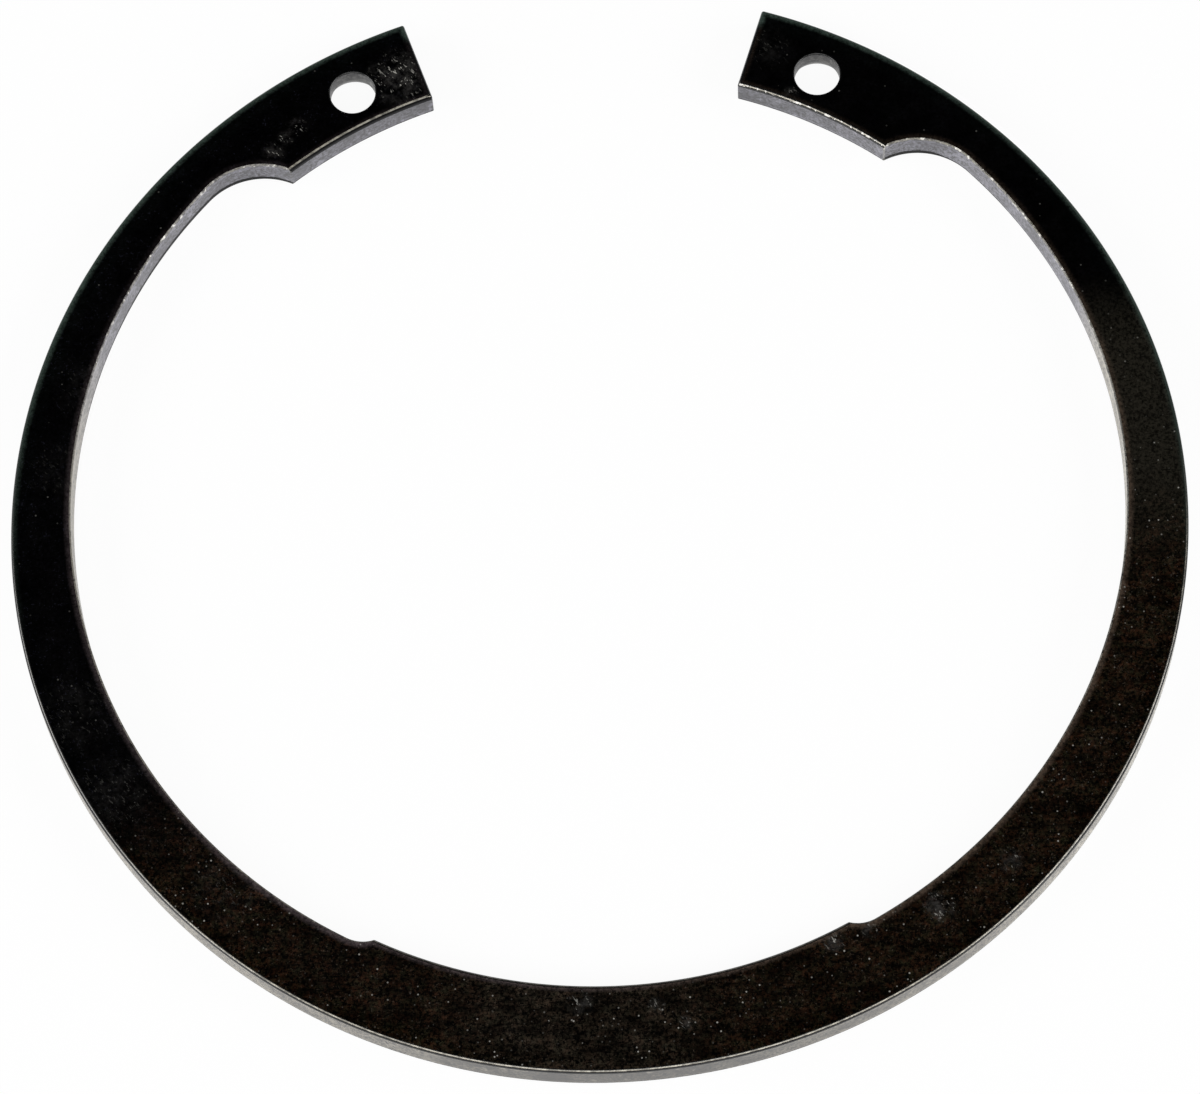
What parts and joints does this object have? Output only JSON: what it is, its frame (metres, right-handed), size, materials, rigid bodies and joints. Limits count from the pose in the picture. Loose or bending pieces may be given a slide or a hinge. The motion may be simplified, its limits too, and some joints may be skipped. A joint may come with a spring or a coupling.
{
  "type": "internal retaining ring",
  "caption": "Open ring of flat spring steel with a plier hole in each lug, which snaps into a groove in a bore and holds a bearing there.",
  "frame": {"origin": "centre of the outer circle, on the underside", "axes": "+Z along the ring's axis, out of the face with the rolled outer edge; +Y from the centre through the middle of the gap"},
  "size_m": [0.0854, 0.0834, 0.0023],
  "materials": {
    "blackened_steel": "black oxide with oil, half gloss, with bare grey sheared edges"
  },
  "bodies": {
    "root": {"ring": "blackened_steel"}
  },
  "joints": []
}
